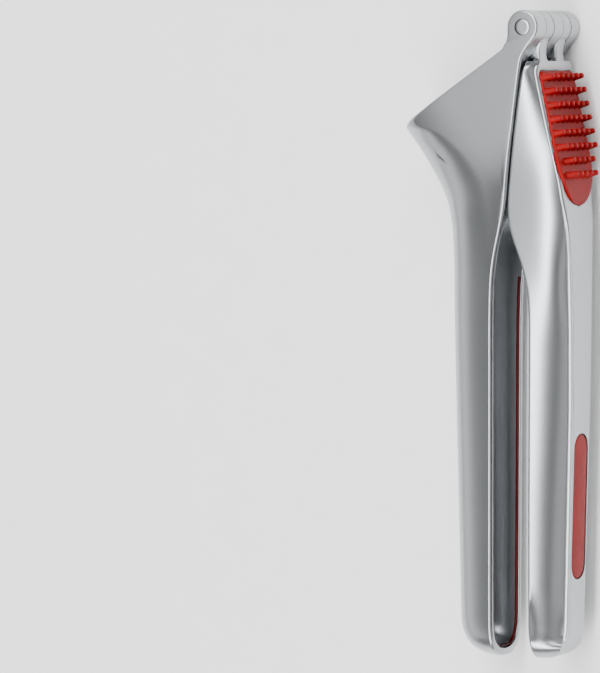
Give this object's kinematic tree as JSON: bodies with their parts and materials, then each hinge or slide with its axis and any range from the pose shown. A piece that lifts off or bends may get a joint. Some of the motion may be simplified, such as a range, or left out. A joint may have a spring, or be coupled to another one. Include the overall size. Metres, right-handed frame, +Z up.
{
  "type": "garlic press",
  "caption": "Hand garlic press: hinged lever with a press foot, perforated chamber, channel grips and a soft nubbed cleaning pad that clears the holes when flipped over",
  "frame": {"origin": "centre of the footprint of the press lying on its side, on the surface it lies on", "axes": "+Z up and along the hinge pin, +Y from the grips towards the hinge, -X the side of the garlic chamber"},
  "size_m": [0.0592, 0.2016, 0.0314],
  "materials": {
    "satin_cast_metal": "satin, lightly blasted and plated zinc casting",
    "stainless_steel": "bright rolled stainless steel",
    "red_silicone": "matte moulded silicone"
  },
  "bodies": {
    "lower": {"lower_handle": "satin_cast_metal", "sieve_plate": "stainless_steel", "hinge_pin": "stainless_steel", "channel_bead": "red_silicone"},
    "upper": {"upper_handle": "satin_cast_metal", "press_foot": "satin_cast_metal", "foot_rivet_1": "stainless_steel", "foot_rivet_2": "stainless_steel", "cleaning_pad": "red_silicone", "grip_inlay": "red_silicone"}
  },
  "joints": [
    {"name": "handle_hinge", "type": "hinge", "parent": "lower", "child": "upper", "pos_m": [0.01416, 0.09552, 0.0157], "axis": [0, 0, 1], "range_deg": [0, 290]}
  ]
}
